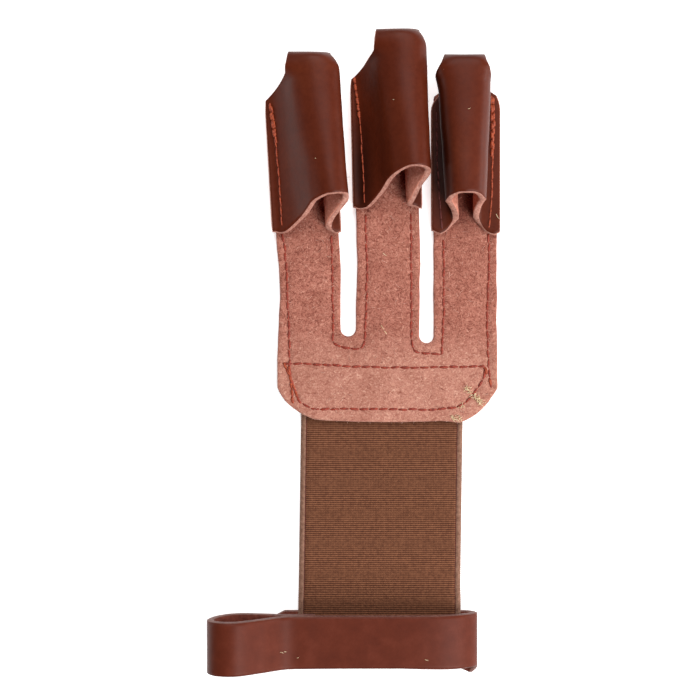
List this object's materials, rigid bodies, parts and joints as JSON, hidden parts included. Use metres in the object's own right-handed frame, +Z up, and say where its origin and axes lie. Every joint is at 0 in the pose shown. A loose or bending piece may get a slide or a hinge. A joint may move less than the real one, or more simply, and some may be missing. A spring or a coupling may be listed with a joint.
{
  "type": "archery glove",
  "caption": "Leather archery glove lying on its back: finger stalls on a slotted hand panel, an elastic band behind it and a folded wrist strap.",
  "frame": {"origin": "underside of the hand panel at the root of the middle finger strip, on the plane that the glove rests on", "axes": "+Z up from the resting plane, +Y towards the fingertips, +X across the fingers to the right as seen from above"},
  "size_m": [0.0917, 0.1999, 0.0221],
  "materials": {
    "suede_leather": "fuzzy pink-brown suede face up, smooth brown grain face down, with raised red-brown stitching",
    "smooth_leather": "smooth dark brown leather with a soft sheen, pink suede inside, pale raw cut edges",
    "ribbed_elastic": "brown woven elastic with fine cross ribs and a plain selvedge",
    "strap_leather": "smooth reddish brown strap leather with a soft sheen and pale cut rims"
  },
  "bodies": {
    "root": {"hand_panel": "suede_leather", "finger_stall_left": "smooth_leather", "finger_stall_middle": "smooth_leather", "finger_stall_right": "smooth_leather", "elastic_band": "ribbed_elastic", "wrist_strap": "strap_leather"}
  },
  "joints": []
}
